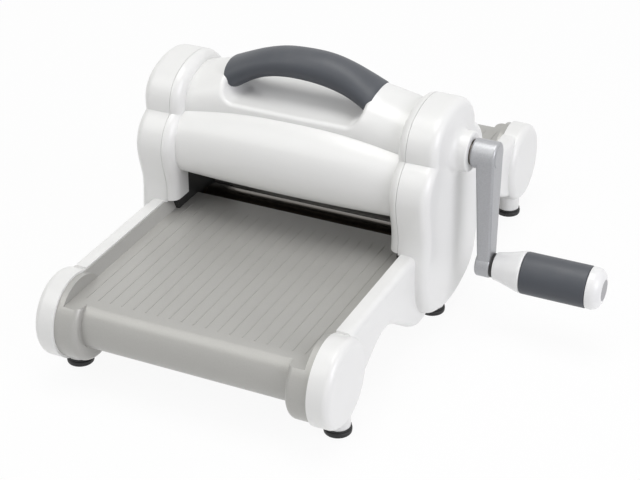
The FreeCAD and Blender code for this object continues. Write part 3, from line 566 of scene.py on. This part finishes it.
@dataclass
class CarryGrip:
    """Soft slate grip round the arch of the carry handle."""

    stations: tuple[tuple[float, float, float, float], ...] = (
        (-60, 148.6, 124, 19), (-52, 152, 130, 17), (-42, 156.4, 137.5, 14.5), (-30, 161.2, 143.8, 12.8),
        (-16, 165, 147.3, 12.5), (0, 166.35, 147.9, 12.5), (16, 165.8, 146.2, 12.5), (30, 162.4, 142.6, 12.8),
        (42, 157.2, 137.3, 14.5), (52, 152, 130, 17), (60, 148.6, 124, 19))
    proud: float = 0.45
    middle: float = -2.2
    top_reach: float = 51.2
    low_reach: float = 45.8
    sides: int = 48
    rings: int = 41
    rim_round: float = 1.3
    rim_steps: int = 5
    smooth_angle: float = 40.0

    def curve_at(self, x: float) -> tuple[float, float, float]:
        """Top, bottom and half depth of the bar at one place, on a smooth curve through the stations.

        Args:
            x: Place along the handle from its middle, in millimetres.

        Returns:
            Top, bottom and half depth in millimetres.
        """
        full = self.stations
        last = len(full) - 1
        span = next((i for i in range(last) if full[i][0] <= x <= full[i + 1][0]), last - 1)
        before, start, end, after = (full[max(0, min(last, span + k))] for k in (-1, 0, 1, 2))
        width = end[0] - start[0]
        share = (x - start[0]) / width
        s2, s3 = share ** 2, share ** 3
        values = []
        for k in (1, 2, 3):
            lead = (end[k] - before[k]) / (end[0] - before[0]) * width
            trail = (after[k] - start[k]) / (after[0] - start[0]) * width
            values.append((2 * s3 - 3 * s2 + 1) * start[k] + (s3 - 2 * s2 + share) * lead
                          + (3 * s2 - 2 * s3) * end[k] + (s3 - s2) * trail)
        return values[0], values[1], values[2]

    def ring_at(self, share: float, inset: float) -> tuple[float, float, float, float, float]:
        """One leaning oval ring of the grip.

        Args:
            share: Place along the grip, from -1 at the left end to 1 at the right end.
            inset: How far the ring is drawn in from the bar's skin, in millimetres.

        Returns:
            Middle x, middle height, half height, half depth and lean in radians.
        """
        top_x, low_x = self.top_reach * share, self.low_reach * share
        top, low = self.curve_at(top_x)[0], self.curve_at(low_x)[1]
        depth = self.curve_at((top_x + low_x) / 2)[2]
        tall = math.hypot(top_x - low_x, top - low) / 2
        lean = math.atan2(top_x - low_x, top - low)
        swell = self.proud - inset
        return self.middle + (top_x + low_x) / 2, (top + low) / 2, tall + swell, depth + swell, lean

    def ring_list(self) -> list[tuple[float, float, float, float, float]]:
        """Rings from the left end to the right end, with a soft rim at both ends."""
        rim = []
        for step in range(self.rim_steps, 0, -1):
            turn = math.radians(90) * step / self.rim_steps
            advance = self.rim_round * math.sin(turn)
            rim.append((1 + advance / self.low_reach, self.rim_round * (1 - math.cos(turn))))
        body = [(-1 + 2 * step / (self.rings - 1), 0.0) for step in range(self.rings)]
        places = [(-share, inset) for share, inset in rim] + body + list(reversed(rim))
        return [self.ring_at(share, inset) for share, inset in places]

    def build(self) -> None:
        """Grow the grip ring by ring from an oval, close its ends and dress it."""
        rings = self.ring_list()
        x, z, tall, depth, lean = rings[0]
        Bench.clear_selection()
        bpy.ops.mesh.primitive_circle_add(vertices=self.sides, radius=MM, fill_type="NGON",
                                          rotation=Axis.ROLLERS.turn(), location=at(x, 0, z))
        piece = bpy.context.object
        piece.name = piece.data.name = "carry_grip_sleeve"
        Bench.settle(piece)
        bpy.ops.object.mode_set(mode="EDIT")
        bpy.ops.mesh.select_all(action="SELECT")
        bpy.ops.transform.resize(value=(1, depth, tall), center_override=at(x, 0, z))
        bpy.ops.transform.rotate(value=-lean, orient_axis="Y", center_override=at(x, 0, z))
        for next_x, next_z, next_tall, next_depth, next_lean in rings[1:]:
            move = ((next_x - x) * MM, 0, (next_z - z) * MM)
            bpy.ops.mesh.extrude_region_move(TRANSFORM_OT_translate={"value": move})
            middle = at(next_x, 0, next_z)
            grow = next_tall / tall
            bpy.ops.transform.resize(value=(grow, next_depth / depth, grow), center_override=middle)
            bpy.ops.transform.rotate(value=lean - next_lean, orient_axis="Y", center_override=middle)
            x, z, tall, depth, lean = next_x, next_z, next_tall, next_depth, next_lean
        bpy.ops.mesh.select_all(action="SELECT")
        bpy.ops.mesh.normals_make_consistent(inside=False)
        bpy.ops.object.mode_set(mode="OBJECT")
        Bench.smooth(piece, self.smooth_angle)
        Bench.dress(piece, SLATE, Body.CHASSIS, Slot.SLATE_GRIP, "carry_handle_grip")


@dataclass
class CrankHandle:
    """Spinning handle at the end of the crank: ferrule, soft sleeve, domed cap and plug."""

    axis_height: float = 43.5
    start: float = 129.2
    ferrule_length: float = 19.2
    sleeve_length: float = 42.5
    cap_length: float = 9.0
    small_radius: float = 8.8
    grip_radius: float = 13.5
    core_radius: float = 11.0
    bore_radius: float = 4.04
    plug_radius: float = 6.6
    neck_length: float = 5.0
    neck_rise: float = 0.9
    shoulder_land: float = 1.6
    rim_drop: float = 0.1
    sleeve_gap: float = 0.25
    core_gap: float = 0.05
    crown_start: float = 5.5
    crown_radius: float = 9.2
    plug_depth: float = 1.2
    crown_steps: int = 8
    sides: int = 72

    def turned(self, name: str, outline: list[tuple[float, float]], finish: Finish, slot: Slot,
               node: str) -> None:
        """Turn one piece about the spindle and dress it.

        Args:
            name: Name of the piece.
            outline: Pairs of x and radius in millimetres.
            finish: Its material.
            slot: The record's slot it belongs to.
            node: CAD node that the piece stands for.
        """
        piece = Bench.turned(name, outline, Axis.ROLLERS, (0, self.axis_height), self.sides)
        Bench.smooth(piece)
        Bench.dress(piece, finish, Body.CRANK_HANDLE, slot, node)

    def ferrule(self) -> None:
        """Tapered front with a soft lip and a tube under the sleeve."""
        grip_start = self.start + self.ferrule_length
        tube_end = grip_start + self.sleeve_length
        shoulder = self.grip_radius - self.rim_drop
        outline = rounded_profile([
            (self.start, self.bore_radius, 0), (self.start, self.small_radius, 1.0),
            (self.start + self.neck_length, self.small_radius + self.neck_rise, 3.0),
            (grip_start - self.shoulder_land, shoulder, 1.2),
            (grip_start, shoulder, 0.4), (grip_start, self.core_radius, 0), (tube_end, self.core_radius, 0),
            (tube_end, self.bore_radius, 0)])
        self.turned("handle_ferrule_turned", outline, HANDLE_WHITE, Slot.HANDLE_WHITE, "handle_ferrule")

    def sleeve(self) -> None:
        """Soft sleeve with rounded ends."""
        first = self.start + self.ferrule_length + self.sleeve_gap
        last = first + self.sleeve_length - 2 * self.sleeve_gap
        inner = self.core_radius + self.core_gap
        outline = rounded_profile([
            (first, inner, 0), (first, self.grip_radius, 0.8), (last, self.grip_radius, 0.8),
            (last, inner, 0)])
        self.turned("handle_soft_sleeve", outline, SLATE, Slot.SLATE_GRIP, "handle_sleeve")

    def cap(self) -> None:
        """Domed end with a stepped seat for the plug."""
        first = self.start + self.ferrule_length + self.sleeve_length
        last = first + self.cap_length
        seat = self.plug_radius + self.rim_drop
        outline = rounded_profile([
            (first, self.plug_radius, 0), (first, self.grip_radius - self.rim_drop, 0.5),
            (first + self.crown_start, self.grip_radius, 3.2), (last, self.crown_radius, 2.4),
            (last, seat, 0.4), (last - self.plug_depth, seat, 0)], self.crown_steps)
        self.turned("handle_domed_cap", outline, HANDLE_WHITE, Slot.HANDLE_WHITE, "handle_end_cap")

    def build(self) -> None:
        """Make and dress the pieces of the handle."""
        self.ferrule()
        self.sleeve()
        self.cap()


@dataclass
class RubberFeet:
    """Ringed rubber pads under the four arm ends and the two towers."""

    place_x: float = 87.6
    places_y: tuple[float, ...] = (-147.0, 0.0, 147.0)
    radius: float = 8.6
    height: float = 4.8
    screw_radius: float = 4.05
    recess: float = 3.3
    shank_hole: float = 2.1
    tread_groove: tuple[float, float] = (6.0, 6.9)
    tread_depth: float = 0.5
    tread_slope: float = 0.2
    bulge_drop: float = 1.5
    groove_drops: tuple[float, float] = (1.4, 1.0)
    groove_depth: float = 0.9
    lip_drop: float = 0.9
    lip_insets: tuple[float, float] = (0.4, 0.5)
    corner_steps: int = 4
    sides: int = 56
    smooth_angle: float = 38.0

    def outline(self) -> list[tuple[float, float]]:
        """Pairs of height and radius of one pad: tread ring, bulged side, groove and top lip."""
        side, top, hole = self.radius, self.height, self.shank_hole
        inner, outer = self.tread_groove
        depth, slope, waist = self.tread_depth, self.tread_slope, side - self.groove_depth
        groove_low, groove_high = (top - drop for drop in self.groove_drops)
        lip_low, lip_high = (side - inset for inset in self.lip_insets)
        return rounded_profile([
            (self.recess, self.screw_radius, 0), (0.0, self.screw_radius, 0.4), (0.0, inner, 0.3),
            (depth, inner + slope, 0.2), (depth, outer - slope, 0.2), (0.0, outer, 0.2),
            (0.0, side - slope, 1.0), (top - self.bulge_drop, side, 0.9), (groove_low, waist, 0.2),
            (groove_high, waist, 0.2), (top - self.lip_drop, lip_low, 0.3), (top, lip_high, 0.3),
            (top, hole, 0), (self.recess, hole, 0)], self.corner_steps)

    def build(self) -> None:
        """Turn six pads, join them and dress them."""
        outline = self.outline()
        places = [(x, y) for x in (-self.place_x, self.place_x) for y in self.places_y]
        pads = [Bench.turned(f"pad_{index}", outline, Axis.UPRIGHT, place, self.sides)
                for index, place in enumerate(places)]
        piece = Bench.joined("rubber_foot_pads", pads)
        Bench.smooth(piece, self.smooth_angle)
        Bench.dress(piece, RUBBER, Body.CHASSIS, Slot.FOOT_RUBBER, "rubber_feet")


@dataclass
class PanScrews:
    """Pan head screws with a cross recess, seen from below."""

    radius: float
    thick: float
    shank_radius: float
    shank_length: float
    face_height: float
    places: tuple[tuple[float, float], ...]
    name: str
    node: str
    slot_width: float = 0.8
    slot_depth: float = 1.0
    slot_reach: float = 1.1
    head_round: float = 0.7
    axis_radius: float = 0.05
    corner_steps: int = 4
    sides: int = 40

    def one(self, index: int, x: float, y: float) -> bpy.types.Object:
        """One screw with its head down.

        Args:
            index: Number of the screw.
            x: Place along the rollers, in millimetres.
            y: Place along the feed, in millimetres.

        Returns:
            The finished screw.
        """
        low, top = self.face_height, self.face_height + self.thick
        tail = top + self.shank_length
        outline = rounded_profile([
            (low, self.axis_radius, 0), (low, self.radius, min(self.head_round, self.thick / 2)),
            (top, self.radius, 0.1), (top, self.shank_radius, 0.1), (tail, self.shank_radius, 0.3),
            (tail, self.axis_radius, 0)], self.corner_steps)
        screw = Bench.turned(f"{self.name}_{index}", outline, Axis.UPRIGHT, (x, y), self.sides)
        for turn in (0, 90):
            Bench.clear_selection()
            bpy.ops.mesh.primitive_cube_add(size=1, location=at(x, y, low),
                                            rotation=(0, 0, math.radians(turn)))
            cutter = bpy.context.object
            size = (self.radius * self.slot_reach, self.slot_width, 2 * self.slot_depth)
            cutter.scale = [length * MM for length in size]
            Bench.settle(cutter)
            Bench.only(screw)
            cross = screw.modifiers.new("cross", "BOOLEAN")
            cross.object = cutter
            cross.operation = "DIFFERENCE"
            cross.solver = "EXACT"
            bpy.ops.object.modifier_apply(modifier=cross.name)
            bpy.data.objects.remove(cutter, do_unlink=True)
        return screw

    def build(self) -> None:
        """Make all screws of this kind, join them and dress them."""
        screws = [self.one(index, x, y) for index, (x, y) in enumerate(self.places)]
        piece = Bench.joined(self.name, screws)
        Bench.smooth(piece)
        Bench.dress(piece, BRIGHT_STEEL, Body.CHASSIS, Slot.STEEL, self.node)


def mirrored_places(places: tuple[tuple[float, float], ...]) -> tuple[tuple[float, float], ...]:
    """Places on all four sides of the machine.

    Args:
        places: Places in the right rear quarter.

    Returns:
        The places with both signs of x and y, each once.
    """
    spread = [(sx * x, sy * y) for x, y in places for sx in (1, -1) for sy in (1, -1)]
    return tuple(dict.fromkeys(spread))


FOOT_SCREWS = PanScrews(
    name="foot_pan_screws", node="foot_screws", radius=4.0, thick=1.8, shank_radius=2.0, shank_length=5.95,
    face_height=1.5, places=mirrored_places(((87.6, 147.0), (87.6, 0.0))))
COVER_SCREWS = PanScrews(
    name="cover_pan_screws", node="lower_cover_screws", radius=3.0, thick=1.6, shank_radius=1.5,
    shank_length=13.95, face_height=25.4, places=mirrored_places(((58.0, 44.0), (58.0, 136.0))))


@dataclass
class CarriedNodes:
    """Frame nodes whose solid shape is already right and which only get a finish."""

    finishes: dict[str, Finish] = field(default_factory=lambda: {
        "crank_arm": SILVER_PAINT, "crank_hub_cap": SILVER_PAINT, "crank_shaft": BRIGHT_STEEL,
        "crank_hub_screw": BRIGHT_STEEL, "handle_spindle": BRIGHT_STEEL, "spindle_washer": NYLON,
        "handle_end_plug": PLUG_GREY, "cover_screws": BRIGHT_STEEL, "tie_rods": BRIGHT_STEEL,
        "tie_rod_nuts": BRIGHT_STEEL, "lower_roller": ROLLER_STEEL, "upper_roller": ROLLER_STEEL,
        "lower_roller_clips": BRIGHT_STEEL, "upper_roller_clips": BRIGHT_STEEL,
        "left_side_plate": PLATE_BLACK, "right_side_plate": PLATE_BLACK, "lower_sync_gear": GEAR_STEEL,
        "upper_sync_gear": GEAR_STEEL, "upper_drive_gear": GEAR_STEEL, "crank_pinion": GEAR_STEEL,
        "roller_bushes": BRONZE, "crank_bushes": BRONZE})

    def build(self) -> None:
        """Put each finish into its node's material slots."""
        for node, finish in self.finishes.items():
            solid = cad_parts[node]
            if not solid.material_slots:
                solid.data.materials.append(finish.material())
            for place in solid.material_slots:
                place.material = finish.material()
            LOG.info("%s: %s", node, finish.name)


@dataclass(frozen=True)
class Softbox:
    """One square soft lamp: where it stands and what it looks at in metres, its power in watts."""

    name: str
    place: tuple[float, float, float]
    size: float
    power: float
    colour: tuple[float, float, float]
    aim: tuple[float, float, float] = (0.0, 0.0, 0.085)

    def hang(self) -> None:
        """Add the lamp to the scene."""
        data = bpy.data.lights.new(self.name, "AREA")
        data.shape = "SQUARE"
        data.size = self.size
        data.energy = self.power
        data.color = self.colour
        lamp = bpy.data.objects.new(self.name, data)
        bpy.context.scene.collection.objects.link(lamp)
        lamp.location = self.place
        lamp.rotation_mode = "QUATERNION"
        lamp.rotation_quaternion = (Vector(self.aim) - Vector(self.place)).to_track_quat("-Z", "Y")


@dataclass
class Studio:
    """Pale floor, soft lamps, white backdrop and the camera of the photograph."""

    camera_place: tuple[float, float, float] = (418.8, -879.2, 583.4)
    camera_aim: tuple[float, float, float] = (17.73, -22.25, 46.75)
    focal_pixels: float = 1694.0
    frame_pixels: float = 640.0
    sensor_width: float = 36.0
    clip: tuple[float, float] = (0.05, 50.0)
    softboxes: tuple[Softbox, ...] = (
        Softbox("key_softbox", (-0.9, -1.1, 1.5), 1.2, 6.6, (1.0, 1.0, 0.97)),
        Softbox("side_softbox", (1.7, -0.5, 0.9), 1.1, 14.2, (0.95, 0.945, 1.0)),
        Softbox("top_softbox", (0.0, 0.0, 1.9), 1.1, 15.2, (1.0, 1.0, 0.98)))
    floor_size: float = 12.0
    floor_height: float = -0.0002
    floor_colour: tuple[float, float, float, float] = (0.9, 0.9, 0.9, 1.0)
    fill_colour: tuple[float, float, float, float] = (0.99, 0.99, 1.0, 1.0)
    backdrop_colour: tuple[float, float, float, float] = (1.0, 1.0, 1.0, 1.0)
    floor_glow: float = 0.93
    fill_strength: float = 0.36

    def camera(self) -> None:
        """Set up the camera at the photograph's viewing angle."""
        data = bpy.data.cameras.new("photo_camera")
        data.sensor_width = self.sensor_width
        data.lens = self.focal_pixels / self.frame_pixels * self.sensor_width
        data.clip_start, data.clip_end = self.clip
        eye = bpy.data.objects.new("photo_camera", data)
        bpy.context.scene.collection.objects.link(eye)
        eye.location = at(*self.camera_place)
        aim = at(*self.camera_aim) - eye.location
        eye.rotation_mode = "QUATERNION"
        eye.rotation_quaternion = aim.to_track_quat("-Z", "Y")
        bpy.context.scene.camera = eye

    @staticmethod
    def looking(tree: bpy.types.NodeTree, path: bpy.types.Node) -> bpy.types.NodeSocket:
        """Mask of the rays that look at the white surroundings: seen, mirrored or seen through.

        Args:
            tree: Tree that gets the nodes.
            path: Its light path node.

        Returns:
            A socket that is 1 for those rays.
        """
        seen = ShaderGroups.math_node(tree, "MAXIMUM", path.outputs["Is Camera Ray"],
                                      path.outputs["Is Transmission Ray"])
        return ShaderGroups.math_node(tree, "MAXIMUM", seen, path.outputs["Is Glossy Ray"])

    def floor(self) -> None:
        """Lay a pale floor that reads white to the camera and keeps a faint shadow."""
        Bench.clear_selection()
        bpy.ops.mesh.primitive_plane_add(size=self.floor_size, location=(0, 0, self.floor_height))
        floor = bpy.context.object
        floor.name = "pale_floor"
        made = bpy.data.materials.new("pale_floor")
        made.use_nodes = True
        tree = made.node_tree
        tree.nodes.clear()
        out = tree.nodes.new("ShaderNodeOutputMaterial")
        matt = tree.nodes.new("ShaderNodeBsdfDiffuse")
        matt.inputs["Color"].default_value = self.floor_colour
        glow = tree.nodes.new("ShaderNodeEmission")
        path = tree.nodes.new("ShaderNodeLightPath")
        share = ShaderGroups.math_node(tree, "MULTIPLY", self.looking(tree, path), self.floor_glow)
        mix = tree.nodes.new("ShaderNodeMixShader")
        tree.links.new(share, mix.inputs[0])
        tree.links.new(matt.outputs[0], mix.inputs[1])
        tree.links.new(glow.outputs[0], mix.inputs[2])
        tree.links.new(mix.outputs[0], out.inputs["Surface"])
        floor.data.materials.append(made)

    def backdrop(self) -> None:
        """White surroundings for the camera and a softer fill for the object."""
        world = bpy.data.worlds.new("studio")
        bpy.context.scene.world = world
        world.use_nodes = True
        tree = world.node_tree
        tree.nodes.clear()
        out = tree.nodes.new("ShaderNodeOutputWorld")
        fill = tree.nodes.new("ShaderNodeBackground")
        fill.inputs["Color"].default_value = self.fill_colour
        fill.inputs["Strength"].default_value = self.fill_strength
        white = tree.nodes.new("ShaderNodeBackground")
        white.inputs["Color"].default_value = self.backdrop_colour
        path = tree.nodes.new("ShaderNodeLightPath")
        mix = tree.nodes.new("ShaderNodeMixShader")
        tree.links.new(self.looking(tree, path), mix.inputs[0])
        tree.links.new(fill.outputs[0], mix.inputs[1])
        tree.links.new(white.outputs[0], mix.inputs[2])
        tree.links.new(mix.outputs[0], out.inputs["Surface"])

    def build(self) -> None:
        """Set up camera, lamps, floor and backdrop."""
        self.camera()
        for softbox in self.softboxes:
            softbox.hang()
        self.floor()
        self.backdrop()
        bpy.context.scene.view_settings.view_transform = "Standard"


def main() -> None:
    """Build every sub-assembly in order and report its pieces."""
    CarriedNodes().build()
    SmoothShells().build()
    CarryGrip().build()
    CrankHandle().build()
    RubberFeet().build()
    FOOT_SCREWS.build()
    COVER_SCREWS.build()
    Studio().build()
    Bench.clear_selection()


if __name__ == "__main__":
    main()
